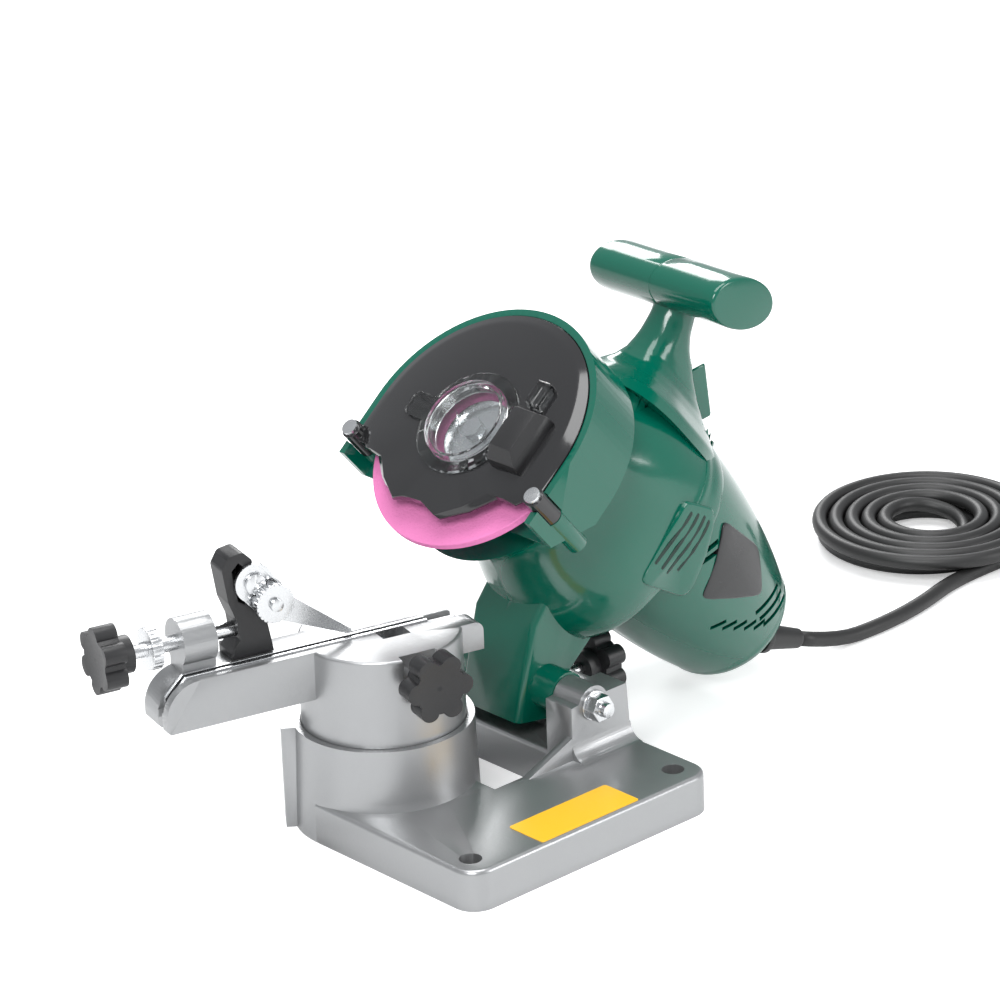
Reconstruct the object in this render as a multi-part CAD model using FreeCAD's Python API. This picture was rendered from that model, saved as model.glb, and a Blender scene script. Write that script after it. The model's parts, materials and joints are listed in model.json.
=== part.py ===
import FreeCAD, Part
import math
import os
from FreeCAD import Placement, Rotation, Vector

# Electric chainsaw sharpener: a cast base with a round vise that turns in a
# cup, and a grinding head that swings down over it on a bolt.
# Millimetres, +Z up. X runs along the bench edge towards the motor's tail.
# The origin is midway between the two bench bolts, on the base's underside.

# Base casting
plate_height = 17.0
plate_corner_radius = 10.0
plate_edge_radius = 2.0
plate_near_depth = 50.0        # from the notch's near edge to the near edge
bolt_spacing = 108.0
bolt_hole_radius = 4.5
bolt_edge_distance = 12.0
bolt_left_distance = 10.0
bar_width = 33.0
notch_width = 21.0             # clear gap between the cup and the bar
cup_outer_radius = 36.0
cup_flare = 1.5                # draft of the cup's wall down to the plate
cup_height = 43.0
cup_wall = 2.9
cup_floor = 14.0
lock_recess_radius = 13.0
lock_recess_depth = 10.0
cup_pad_width = 14.0
cup_pad_depth = 5.0
underside_wall = 4.0
underside_depth = 11.0
ear_thickness = 15.0
ear_gap = 61.0                 # between the ears' inner faces
ear_boss_radius = 8.0
ear_block_height = 24.0        # above the plate
bar_end_margin = 4.0
bridge_thickness = 9.0         # cross wall that carries the depth screw
bridge_height = 19.5
rib_length = 24.0
rib_height = 10.0
rib_thickness = 3.5

# Head pivot
pivot_from_bar_edge = 12.0
pivot_height = 37.6
pivot_bolt_radius = 3.0
running_gap = 0.05
body_gap = 0.3
nut_flats = 10.0
nut_height = 5.0
washer_radius = 6.3
washer_thickness = 1.2
pivot_boss_radius = 9.0

# Turret and its jaws, drawn with the slot along X
turret_angle = -14.5           # degrees about +Z, as it stands at rest
turret_height = 79.4
turret_draft = 0.5
turret_wall = 5.0
turret_top_thickness = 22.0
arm_length = 95.0
arm_height = 20.0
arm_nose_radius = 15.0
slot_width = 4.6
slot_depth = 12.0
near_jaw_thickness = 4.0
far_jaw_thickness = 12.5
strip_thickness = 1.2
strip_length = 112.0
strip_stand = 0.6              # how far the strips stand above the jaws
end_lug_width = 10.0
end_lug_reach = 5.5

# Clamping knob on the turret's near side
clamp_axis_drop = 8.0          # below the turret's top
clamp_screw_radius = 3.0
knob_radius = 12.4
knob_lobe_radius = 4.2
knob_lobes = 6
knob_thickness = 9.0
knob_hub_radius = 7.5
knob_hub_length = 5.5
knob_dish = 1.2

# Turret lock under the cup
lock_screw_radius = 4.0
lock_screw_length = 28.0
lock_head_flats = 13.0
lock_head_height = 5.3

# Chain stop on the far jaw
stop_offset = 9.0              # screw axis from the slot's middle
stop_axis_height = 11.0        # above the jaws' top
lug_radius = 9.6
lug_start = 69.0               # from the turret's axis towards the arm's nose
lug_thickness = 14.0
stop_screw_radius = 3.0
stop_knob_start = 102.5
lock_nut_radius = 8.5
lock_nut_thickness = 4.5
lock_nut_start = 91.0
carriage_start = 44.0
carriage_foot_length = 18.0
carriage_height = 44.0
carriage_thickness = 11.0
bracket_thickness = 1.6
bracket_radius = 8.0
flap_pivot_x = -51.5
flap_pivot_height = 31.0       # above the jaws' top
flap_stud_x = -45.5
flap_stud_height = 22.8
flap_nut_radius = 8.0
flap_nut_thickness = 4.0
finger_tip_x = -12.0
finger_thickness = 1.5
stud_radius = 2.5

# Grinding head, drawn about the wheel's centre with X along the spindle
wheel_tilt = 49.9              # degrees from upright, at rest
wheel_x = 57.9
wheel_z = 142.6
wheel_radius = 50.0
wheel_thickness = 3.2
wheel_bore_radius = 5.0
flange_radius = 15.0
flange_thickness = 3.0
motor_offset = 25.0            # motor shaft above the spindle
guard_radius = 56.0
guard_wall = 3.0
guard_front = 8.5
guard_back = 22.0
guard_skirt = 29.0             # how far the side walls reach below centre
cover_thickness = 3.2
cover_post_spread = 53.5
cover_post_drop = 19.3
cover_post_radius = 4.2
case_radius = 40.0
case_back = 95.0
barrel_front_radius = 43.0
barrel_middle = 140.0
barrel_middle_radius = 37.5
barrel_end = 181.0
barrel_end_radius = 26.0
barrel_edge_radius = 9.0
leg_half_width = 18.0
leg_front = 63.8
leg_foot_drop = 78.0
neck_front = 36.0
neck_back = 68.0
neck_half_width = 14.0
handle_along = 43.8
handle_up = 107.3
handle_half_length = 36.0
handle_wide = 18.5
handle_thick = 11.0
handle_turn = 30.0

# Screws that hold the two shells together: along, up, and the far skin there
housing_screw_places = ((52.0, 82.0, 14.0), (104.0, 61.0, 20.0), (104.0, -11.0, 20.0), (82.0, -32.0, 22.0),
                        (34.0, 30.0, 20.0))
housing_screw_radius = 1.8
housing_screw_head = 3.6
housing_screw_length = 24.0

# Drive inside the head
rotor_radius = 18.0
rotor_start = 112.0
rotor_length = 36.0
stator_radius = 30.5
stator_length = 34.0
shaft_radius = 4.0
spindle_radius = 5.0
commutator_radius = 10.0
fan_radius = 27.0
gear_module = 1.0
gear_teeth = 40
pinion_teeth = 10
gear_thickness = 8.0
gear_start = 60.0
gear_room_gap = 5.0
pinion_bore_radius = 2.5
spindle_bearing_radius = 13.0
motor_bearing_radius = 11.0
bearing_width = 7.0
rear_bearing_inset = 14.0
motor_room_radius = 30.8
rotor_gap = 0.5
commutator_length = 12.0
brush_length = 14.0
fan_start = 95.0
fan_blades = 12
wheel_bolt_radius = 2.5
wheel_bolt_flats = 8.0
wheel_bolt_head = 4.0
wheel_bolt_length = 18.0

# Cover window, switch and depth stop
cover_lip = 1.0
cover_slope = 5.5
cover_post_stand = 1.0
cover_post_end = 1.7
window_bore = 18.0
window_radius = 23.0
window_rise = 4.6
window_thickness = 1.6
window_tab_reach = 34.0
latch_height = 10.0
cover_gap = 0.4
cover_screw_radius = 1.8
cover_screw_length = 22.0
trigger_along = 83.5
trigger_up = 82.0
trigger_slope = 33.0
trigger_length = 24.0
depth_screw_radius = 3.0
depth_screw_length = 34.0
depth_axis_rise = 10.5         # above the plate
knob_bore_depth = 10.5

# Power cord, and the strain relief at the tail, seen from the turret's axis
cord_radius = 3.3
relief_start = (188.0, -20.0, 21.5)
relief_drop = 20.0
relief_length = 26.0
cord_route = [(236.0, -20.3, 3.4), (262.0, -22.5, -1), (290.0, -20.0, -1), (320.0, -12.0, -1), (352.0, -12.0, -1)]
coil_outer = 46.0
coil_gap = 0.6
coil_turns_per_layer = 4
tail_steps = [(24.0, 0.0, 0.0), (48.0, -4.0, -2.0), (76.0, -4.0, -3.4), (100.0, 4.0, -3.4)]

XA = Vector(1, 0, 0)
YA = Vector(0, 1, 0)
ZA = Vector(0, 0, 1)

# The turret's axis, seen from the origin
plate_left = -cup_outer_radius - cup_flare
turret_x = -(plate_left + bolt_left_distance + bolt_spacing / 2)
bar_left = cup_outer_radius + cup_flare + notch_width
bar_right = bar_left + bar_width
notch_near = -(cup_outer_radius + 6.0)
plate_near = notch_near - plate_near_depth
turret_y = -(plate_near + bolt_edge_distance)
bar_far = ear_gap / 2 + ear_thickness + bar_end_margin
pivot_x = bar_left + pivot_from_bar_edge
ear_outer = ear_gap / 2 + ear_thickness
turret_radius = cup_outer_radius - cup_wall - body_gap


def save(name, shape):
    """Move a shape from the turret's axis to the part's origin and write it."""
    moved = shape.copy()
    moved.translate(Vector(turret_x, turret_y, 0))
    moved.exportStep("parts/" + name + ".step")


def cylinder(radius, length, start, direction):
    return Part.makeCylinder(radius, length, start, direction)


def ring(outer, inner, length, start, direction):
    return cylinder(outer, length, start, direction).cut(cylinder(inner, length, start, direction))


def box(x0, x1, y0, y1, z0, z1):
    return Part.makeBox(x1 - x0, y1 - y0, z1 - z0, Vector(x0, y0, z0))


def closed_face(points):
    corners = [Vector(*p) for p in points]
    return Part.Face(Part.makePolygon(corners + corners[:1]))


def side_plate(outline, y0, y1):
    """Extrude an outline of (x, z) points across Y."""
    return closed_face([(x, y0, z) for x, z in outline]).extrude(Vector(0, y1 - y0, 0))


def floor_plate(outline, z0, z1):
    """Extrude an outline of (x, y) points upwards."""
    return closed_face([(x, y, z0) for x, y in outline]).extrude(Vector(0, 0, z1 - z0))


def rounded(shape, radius, wanted):
    """Fillet the edges that a test picks by their middle point."""
    edges = [e for e in shape.Edges if wanted(e.CenterOfMass)]
    return shape.makeFillet(radius, edges)


def union(shapes):
    result = shapes[0].fuse(shapes[1:])
    return result.removeSplitter()


def hexagon(flats, height, start, direction):
    reach = flats / math.sqrt(3)
    points = [Vector(reach * math.cos(k * math.pi / 3), reach * math.sin(k * math.pi / 3), 0) for k in range(6)]
    prism = Part.Face(Part.makePolygon(points + points[:1])).extrude(Vector(0, 0, height))
    prism.Placement = Placement(start, Rotation(ZA, direction))
    return prism


def lobed_knob(start, direction, bore):
    """Six-lobed hand knob on a round hub, its hub's end at the start."""
    body = cylinder(knob_hub_radius, knob_hub_length + 1, Vector(0, 0, 0), ZA)
    disc = cylinder(knob_radius - knob_lobe_radius / 2, knob_thickness, Vector(0, 0, knob_hub_length), ZA)
    lobes = []
    for k in range(knob_lobes):
        turn = 2 * math.pi * k / knob_lobes
        middle = Vector(math.cos(turn), math.sin(turn), 0) * (knob_radius - knob_lobe_radius + 1.5)
        lobes.append(cylinder(knob_lobe_radius, knob_thickness, middle + Vector(0, 0, knob_hub_length), ZA))
    knob = union([body, disc] + lobes)
    top = knob_hub_length + knob_thickness
    dish = Part.makeSphere(60, Vector(0, 0, top + 60 - knob_dish))
    knob = knob.cut(dish)
    knob = knob.cut(cylinder(bore, knob_bore_depth, Vector(0, 0, 0), ZA))
    knob.Placement = Placement(start, Rotation(ZA, direction))
    return knob


def knurled(radius, thickness, bore, start, direction):
    """Nut with a coarse knurl cut as shallow grooves round its edge."""
    nut = ring(radius, bore, thickness, Vector(0, 0, 0), ZA)
    count = 24
    grooves = []
    for k in range(count):
        turn = 2 * math.pi * k / count
        groove = Part.makeBox(0.9, 0.9, thickness + 2, Vector(-0.45, -0.45, -1))
        groove.rotate(Vector(0, 0, 0), ZA, 45)
        groove.translate(Vector(radius + 0.15, 0, 0))
        groove.rotate(Vector(0, 0, 0), ZA, math.degrees(turn))
        grooves.append(groove)
    nut = nut.cut(Part.makeCompound(grooves))
    nut.Placement = Placement(start, Rotation(ZA, direction))
    return nut


def in_turret(shape):
    """Turn a shape drawn with the slot along X to the turret's rest angle."""
    turned = shape.copy()
    turned.rotate(Vector(0, 0, 0), ZA, turret_angle)
    return turned


HEAD = Placement(Vector(wheel_x, 0, wheel_z), Rotation(YA, wheel_tilt))


def in_head(shape):
    """Place a shape drawn about the wheel's centre, spindle along X."""
    placed = shape.copy()
    placed.Placement = HEAD.multiply(placed.Placement)
    return placed


def make_base():
    plate = floor_plate([(plate_left, plate_near), (bar_right, plate_near), (bar_right, bar_far),
                         (bar_left, bar_far), (bar_left, notch_near), (cup_outer_radius * 0.55, notch_near),
                         (cup_outer_radius * 0.55, 0), (plate_left, 0)], 0, plate_height)
    near_corners = lambda c: c.y < plate_near + 1 and abs(c.z - plate_height / 2) < 1 and (
        abs(c.x - plate_left) < 1 or abs(c.x - bar_right) < 1)
    plate = rounded(plate, plate_corner_radius, near_corners)
    far_corners = lambda c: c.y > bar_far - 1 and abs(c.z - plate_height / 2) < 1
    plate = rounded(plate, 5.0, far_corners)
    top_rim = lambda c: abs(c.z - plate_height) < 0.1 and (c.y < notch_near - 1 or c.x > bar_right - 1)
    plate = rounded(plate, plate_edge_radius, top_rim)
    cup = Part.makeCone(cup_outer_radius + cup_flare, cup_outer_radius, cup_height)
    pad = box(cup_outer_radius - 6, cup_outer_radius + cup_pad_depth, -cup_pad_width / 2, cup_pad_width / 2,
              0, cup_height)
    pad.rotate(Vector(0, 0, 0), ZA, 143)
    near_ear = make_ear(-1)
    far_ear = make_ear(1)
    bridge = box(bar_right - bridge_thickness, bar_right - 1.5, -ear_gap / 2 - 1, ear_gap / 2 + 1,
                 plate_height - 1, plate_height + bridge_height)
    base = union([plate, cup, pad, near_ear, far_ear, bridge])
    cup_bore = cylinder(cup_outer_radius - cup_wall, cup_height, Vector(0, 0, cup_floor), ZA)
    base = base.cut(cup_bore)
    base = base.cut(cylinder(lock_screw_radius + 0.5, cup_floor + 2, Vector(0, 0, -1), ZA))
    base = base.cut(cylinder(lock_recess_radius, lock_recess_depth + 1, Vector(0, 0, -1), ZA))
    hole_y = plate_near + bolt_edge_distance
    for hole_x in (-turret_x - bolt_spacing / 2, -turret_x + bolt_spacing / 2):
        base = base.cut(cylinder(bolt_hole_radius, plate_height + 2, Vector(hole_x, hole_y, -1), ZA))
    for cell in underside_cells():
        base = base.cut(cell)
    pivot = Vector(pivot_x, -ear_outer - 1, pivot_height)
    base = base.cut(cylinder(pivot_bolt_radius + running_gap, 2 * ear_outer + 2, pivot, YA))
    depth = Vector(bar_right - bridge_thickness - 5, 0, plate_height + depth_axis_rise)
    base = base.cut(cylinder(depth_screw_radius + running_gap, 30, depth, XA))
    return base


def make_ear(side):
    """One pivot ear: a round boss over the bolt and a lower flat block."""
    inner = side * ear_gap / 2
    outer = side * ear_outer
    y0 = min(inner, outer)
    y1 = max(inner, outer)
    top = plate_height + ear_block_height
    block = side_plate([(bar_left + 0.3, 2), (bar_right - 0.8, 2), (bar_right - 0.8, plate_height),
                        (bar_right - 2.5, top), (pivot_x + 3, top), (bar_left + 0.3, top - 1.5)], y0, y1)
    boss = cylinder(ear_boss_radius, ear_thickness, Vector(pivot_x, y0, pivot_height), YA)
    foot_radius = 7.0
    foot = box(bar_left + 0.3, bar_right - 0.8, outer, outer + side * foot_radius, plate_height - 1,
               plate_height + foot_radius) if side > 0 else box(
        bar_left + 0.3, bar_right - 0.8, outer - foot_radius, outer, plate_height - 1, plate_height + foot_radius)
    scoop = cylinder(foot_radius, bar_width + 4,
                     Vector(bar_left - 1, outer + side * foot_radius, plate_height + foot_radius), XA)
    foot = foot.cut(scoop)
    pieces = [block, boss, foot]
    if side < 0:
        edge = outer + rib_thickness
        pieces.append(side_plate([(bar_left + 1, 2), (bar_left + 1, plate_height + rib_height),
                                  (bar_left - rib_length, plate_height), (bar_left - rib_length, 2)],
                                 outer, edge))
    keep = box(bar_left - rib_length - 1, bar_right, -bar_far - 20, bar_far, 0, top + 20)
    return union(pieces).common(keep)


def underside_cells():
    """Cored pockets under the plate, between ribs."""
    cells = []
    columns = 4
    room = bar_right - plate_left - 2 * underside_wall
    pitch = room / columns
    for column in range(columns):
        x0 = plate_left + underside_wall + column * pitch + underside_wall / 2
        x1 = x0 + pitch - underside_wall
        y0 = plate_near + bolt_edge_distance + bolt_hole_radius + underside_wall
        y1 = notch_near - underside_wall
        cells.append(box(x0, x1, y0, y1, -1, underside_depth))
    bar_cells = 3
    bar_room = bar_far - notch_near - 2 * underside_wall
    for row in range(bar_cells):
        y0 = notch_near + underside_wall + row * bar_room / bar_cells + underside_wall / 2
        y1 = y0 + bar_room / bar_cells - underside_wall
        cells.append(box(bar_left + underside_wall, bar_right - underside_wall, y0, y1, -1, underside_depth))
    return cells


def nose_outline(front, back, low, high, nose):
    """Side outline of a jaw: straight, with a rounded top corner at its nose."""
    start = Vector(front + nose, 0, high)
    middle = Vector(front + nose * (1 - math.sqrt(0.5)), 0, high - nose * (1 - math.sqrt(0.5)))
    end = Vector(front, 0, high - nose)
    arc = Part.Arc(start, middle, end).toShape()
    lines = [Part.makeLine(end, Vector(front, 0, low + 1.5)),
             Part.makeLine(Vector(front, 0, low + 1.5), Vector(front + 1.5, 0, low)),
             Part.makeLine(Vector(front + 1.5, 0, low), Vector(back, 0, low)),
             Part.makeLine(Vector(back, 0, low), Vector(back, 0, high)),
             Part.makeLine(Vector(back, 0, high), start)]
    return Part.Face(Part.Wire([arc] + lines))


def jaw(y0, y1):
    face = nose_outline(-arm_length, 0, turret_height - arm_height, turret_height, arm_nose_radius)
    solid = face.extrude(Vector(0, y1 - y0, 0))
    solid.translate(Vector(0, y0, 0))
    return solid


def make_turret():
    """Drum with both jaws of the arm, the chain slot and the stop's lug."""
    low = cup_floor + body_gap
    inner = turret_radius - turret_wall
    boss = lock_screw_radius + 6
    core_top = turret_height - turret_top_thickness
    outline = [(lock_screw_radius + running_gap, low), (boss, low), (boss, core_top - 4), (inner, core_top),
               (inner, low), (turret_radius, low), (turret_radius, cup_height),
               (turret_radius - turret_draft, turret_height), (0.001, turret_height),
               (0.001, low + 30), (lock_screw_radius + running_gap, low + 30)]
    drum = closed_face([(r, 0, z) for r, z in outline]).revolve(Vector(0, 0, 0), ZA, 360)
    drum = rounded(drum, 1.2, lambda c: abs(c.z - turret_height) < 0.01)
    half = slot_width / 2
    near = jaw(-half - near_jaw_thickness, -half + 0.5)
    far = jaw(half - 0.5, half + far_jaw_thickness)
    axis_z = turret_height + stop_axis_height
    lug = cylinder(lug_radius, lug_thickness, Vector(-lug_start - lug_thickness, stop_offset, axis_z), XA)
    lug_foot = box(-lug_start - lug_thickness, -lug_start, stop_offset - 6, stop_offset + 5.8,
                   turret_height - 2, axis_z)
    end_lug = box(turret_radius - 6, turret_radius + end_lug_reach, -half - 2 - end_lug_width, -half - 2,
                  turret_height - slot_depth, turret_height)
    end_lug = rounded(end_lug, 4.0, lambda c: c.x > turret_radius + end_lug_reach - 0.1
                      and c.z > turret_height - 0.1)
    turret = union([drum, near, far, lug, lug_foot, end_lug])
    slot = box(-arm_length - 1, turret_radius + 8, -half, half, turret_height - slot_depth, turret_height + 1)
    gap_below = box(-arm_length - 1, -turret_radius - 2, -half, half, turret_height - arm_height - 1,
                    turret_height - slot_depth - 3)
    turret = turret.cut(slot).cut(gap_below)
    window_x = 2.0
    window = box(window_x - 5, window_x + 7, -half - 7, -half + 0.1, turret_height - slot_depth + 1,
                 turret_height + 1)
    recess = box(-13, 0, half - 0.1, half + 2.2, turret_height - 5, turret_height + 1)
    turret = turret.cut(window).cut(recess)
    clamp_z = turret_height - clamp_axis_drop
    turret = turret.cut(cylinder(clamp_screw_radius + running_gap, 40, Vector(window_x, -turret_radius - 2,
                                                                             clamp_z), YA).common(
        box(-40, 40, -40, -half + 0.1, 0, 200)))
    pocket = box(window_x - 8, window_x + 8, -turret_radius - 2, -turret_radius + 5, clamp_z - 8,
                 turret_height + 1)
    turret = turret.cut(pocket)
    turret = turret.cut(cylinder(stop_screw_radius + running_gap, lug_thickness + 2,
                                 Vector(-lug_start - lug_thickness - 1, stop_offset, axis_z), XA))
    return turret, window_x, clamp_z


def make_strips(window_x):
    """The two steel guide strips that hold the chain's drive links."""
    half = slot_width / 2
    low = turret_height - slot_depth + 0.4
    high = turret_height + strip_stand
    front = -arm_length + 3
    far = side_plate([(front + 8, high), (front, high - 8), (front, low), (front + strip_length, low),
                      (front + strip_length, high)], half - strip_thickness - 0.05, half - 0.05)
    near_y = -half + 0.05
    near = side_plate([(front + 8, high), (front, high - 8), (front, low), (front + strip_length, low),
                       (front + strip_length, high)], near_y, near_y + strip_thickness)
    return far, near


def make_clamp(window_x, clamp_z):
    """Clamping screw whose end pushes the near strip, with its knob."""
    tip = -slot_width / 2
    seat = -turret_radius - 0.8
    screw = cylinder(clamp_screw_radius, tip - seat + knob_bore_depth, Vector(window_x, seat - knob_bore_depth, clamp_z),
                     YA)
    knob = lobed_knob(Vector(window_x, seat, clamp_z), Vector(0, -1, 0), clamp_screw_radius)
    return screw, knob


def make_stop():
    """Chain stop: carriage, adjusting screw, knob, lock nut, flap and its nut."""
    z0 = turret_height
    axis_z = z0 + stop_axis_height
    y0 = stop_offset - carriage_thickness / 2
    y1 = stop_offset + carriage_thickness / 2
    x0 = -carriage_start - carriage_foot_length
    x1 = -carriage_start
    profile = [(x0, z0 + body_gap), (x1, z0 + body_gap), (x1 - 2, z0 + 12), (x1 - 7, z0 + 22),
               (x1 - 8, z0 + 30), (x1 - 7, z0 + 40), (x1 - 11, z0 + carriage_height),
               (x1 - 17, z0 + carriage_height - 1), (x1 - 20, z0 + carriage_height - 6),
               (x1 - 18, z0 + 24), (x1 - 15, z0 + 16), (x1 - 14, z0 + 8), (x0, z0 + 3)]
    carriage = side_plate(profile, y0, y1)
    carriage = rounded(carriage, 2.5, lambda c: c.z > z0 + 12 and abs(c.y - stop_offset) < 0.1)
    hollow = side_plate([(x1 - 11, z0 + 22), (x1 - 10, z0 + 37), (x1 - 13, z0 + 40), (x1 - 16, z0 + 37),
                         (x1 - 14, z0 + 24)], y0 - 1, y1 - 2.5)
    carriage = carriage.cut(hollow)
    tongue = box(x0 + 1, x1 - 1, slot_width / 2 + far_jaw_thickness + body_gap,
                 slot_width / 2 + far_jaw_thickness + body_gap + 2.5, z0 - 8, z0 + 3)
    tongue_top = box(x0 + 1, x1 - 1, y1 - 1, slot_width / 2 + far_jaw_thickness + body_gap + 2.5,
                     z0 + body_gap, z0 + 3)
    carriage = union([carriage, tongue, tongue_top])
    screw_end = x1 - 8.0
    screw_start = -stop_knob_start - knob_bore_depth
    bore = cylinder(stop_screw_radius + running_gap, 20, Vector(screw_end - 8, stop_offset, axis_z), XA)
    carriage = carriage.cut(bore.common(box(-200, screw_end + 0.3, -50, 50, 0, 300)))
    flap_pivot = Vector(flap_pivot_x, y0 - 1.5, z0 + flap_pivot_height)
    carriage = carriage.cut(cylinder(stud_radius + running_gap, 12, flap_pivot, YA))
    screw = cylinder(stop_screw_radius, screw_end - screw_start, Vector(screw_start, stop_offset, axis_z), XA)
    knob = lobed_knob(Vector(-stop_knob_start, stop_offset, axis_z), Vector(-1, 0, 0), stop_screw_radius)
    nut = knurled(lock_nut_radius, lock_nut_thickness, stop_screw_radius + running_gap,
                  Vector(-lock_nut_start - lock_nut_thickness, stop_offset, axis_z), XA)
    return carriage, screw, knob, nut, y0


def make_flap(y0):
    """Pivoting stop: sheet bracket, its pin, the pointed finger, stud and nut."""
    z0 = turret_height
    pin_z = z0 + flap_pivot_height
    stud_z = z0 + flap_stud_height
    face = y0 - body_gap
    pivot_disc = cylinder(bracket_radius, bracket_thickness, Vector(flap_pivot_x, face - bracket_thickness, pin_z),
                          YA)
    stud_disc = cylinder(bracket_radius - 1, bracket_thickness, Vector(flap_stud_x, face - bracket_thickness, stud_z),
                         YA)
    bracket = union([pivot_disc, stud_disc, side_plate(
        [(flap_pivot_x - 6, pin_z - 5), (flap_stud_x - 5.5, stud_z - 4.4), (flap_stud_x + 5.5, stud_z + 4.4),
         (flap_pivot_x + 6, pin_z + 5)], face - bracket_thickness, face)])
    fold = side_plate([(flap_pivot_x + 1, pin_z + 8), (flap_pivot_x + 2.2, pin_z + 8), (flap_stud_x + 7, stud_z + 4),
                       (flap_stud_x + 5.8, stud_z + 4)], face - bracket_thickness - 1.4, face)
    bracket = union([bracket, fold])
    bracket = bracket.cut(cylinder(stud_radius + running_gap, 10, Vector(flap_pivot_x, face - 5, pin_z), YA))
    bracket = bracket.cut(cylinder(stud_radius, 10, Vector(flap_stud_x, face - 5, stud_z), YA))
    pin = union([cylinder(stud_radius, 9, Vector(flap_pivot_x, face - bracket_thickness - 0.1, pin_z), YA),
                 cylinder(stud_radius + 1.6, 1.4, Vector(flap_pivot_x, face - bracket_thickness - 1.5, pin_z), YA)])
    finger_y1 = face - bracket_thickness
    finger_y0 = finger_y1 - finger_thickness
    finger = union([cylinder(bracket_radius - 1, finger_thickness, Vector(flap_stud_x, finger_y0, stud_z), YA),
                    side_plate([(flap_stud_x - 3.5, stud_z - 6), (finger_tip_x - 1.5, z0 + 1.4),
                                (finger_tip_x, z0 + 1.4), (finger_tip_x, z0 + 3.0),
                                (flap_stud_x + 3.4, stud_z + 4.0)], finger_y0, finger_y1)])
    finger = finger.cut(cylinder(stud_radius, 10, Vector(flap_stud_x, finger_y0 - 3, stud_z), YA))
    finger = finger.cut(cylinder(stud_radius + 3.0, 3, Vector(flap_pivot_x, finger_y0 - 0.7, pin_z), YA))
    stud = cylinder(stud_radius, finger_thickness + bracket_thickness + flap_nut_thickness + 2,
                    Vector(flap_stud_x, finger_y0 - flap_nut_thickness - 2, stud_z), YA)
    nut = knurled(flap_nut_radius, flap_nut_thickness, stud_radius + running_gap,
                  Vector(flap_stud_x, finger_y0 - 0.05, stud_z), Vector(0, -1, 0))
    return bracket, pin, finger, stud, nut


def stadium(along, low, high, radius_low, radius_high):
    """Closed section across the spindle: two arcs joined by tangent lines."""
    gap = high - low
    lean = math.asin((radius_low - radius_high) / gap)
    c, s = math.cos(lean), math.sin(lean)
    right_low = Vector(along, radius_low * c, low + radius_low * s)
    right_high = Vector(along, radius_high * c, high + radius_high * s)
    left_low = Vector(along, -right_low.y, right_low.z)
    left_high = Vector(along, -right_high.y, right_high.z)
    edges = [Part.makeLine(right_low, right_high),
             Part.Arc(right_high, Vector(along, 0, high + radius_high), left_high).toShape(),
             Part.makeLine(left_high, left_low),
             Part.Arc(left_low, Vector(along, 0, low - radius_low), right_low).toShape()]
    return Part.Wire(edges)


def case_sections(shrink):
    """Gear case: stations along the spindle with lower and upper radii."""
    stations = [(guard_back - 2, 44.0, 44.0, 8.0), (43, 33.0, 38.0, 22.0), (57, 37.0, 40.5, motor_offset),
                (70, case_radius, 42.0, motor_offset), (84, case_radius, barrel_front_radius, motor_offset),
                (case_back - 2, 37.0, barrel_front_radius, motor_offset)]
    return [stadium(a, 0, up, low_r - shrink, high_r - shrink) for a, low_r, high_r, up in stations]


def barrel_profile(shrink, front, back):
    """Half outline of the motor barrel about its own axis, with a round edge."""
    r0 = barrel_front_radius - shrink
    r1 = barrel_middle_radius - shrink
    r2 = barrel_end_radius + 4 - shrink
    edge = barrel_edge_radius - shrink if shrink < barrel_edge_radius - 2 else 2
    start = Vector(front, 0, r0)
    curve = Part.Arc(start, Vector(barrel_middle, 0, r1), Vector(back - edge, 0, r2)).toShape()
    corner = Part.Arc(Vector(back - edge, 0, r2), Vector(back - edge * 0.25, 0, r2 - edge * 0.38),
                      Vector(back, 0, r2 - edge)).toShape()
    close = [Part.makeLine(Vector(back, 0, r2 - edge), Vector(back, 0, 0)),
             Part.makeLine(Vector(back, 0, 0), Vector(front, 0, 0)),
             Part.makeLine(Vector(front, 0, 0), start)]
    solid = Part.Face(Part.Wire([curve, corner] + close)).revolve(Vector(0, 0, 0), XA, 360)
    solid.translate(Vector(0, 0, motor_offset))
    return solid


def guard_outline(radius, skirt):
    """Guard section: a circle above, straight walls below."""
    edges = [Part.Arc(Vector(0, -radius, 0), Vector(0, 0, radius), Vector(0, radius, 0)).toShape(),
             Part.makeLine(Vector(0, radius, 0), Vector(0, radius, -skirt)),
             Part.makeLine(Vector(0, radius, -skirt), Vector(0, -radius, -skirt)),
             Part.makeLine(Vector(0, -radius, -skirt), Vector(0, -radius, 0))]
    return Part.Face(Part.Wire(edges))


def make_guard():
    """Open shell round the wheel's upper half, part of the housing."""
    outer = guard_outline(guard_radius, guard_skirt).extrude(Vector(guard_front + guard_back, 0, 0))
    outer.translate(Vector(-guard_front, 0, 0))
    inner = guard_outline(guard_radius - guard_wall, guard_skirt + 1).extrude(Vector(guard_front + 9, 0, 0))
    inner.translate(Vector(-guard_front - 1, 0, 0))
    below = side_plate([(8, -guard_skirt - 1), (guard_back + 1, -guard_skirt - 1), (guard_back + 1, -8)],
                       -guard_radius - 1, guard_radius + 1)
    return outer.cut(inner).cut(below)


def pivot_in_head():
    """The head's pivot, seen from the wheel's centre."""
    return HEAD.inverse().multVec(Vector(pivot_x, 0, pivot_height))


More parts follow.
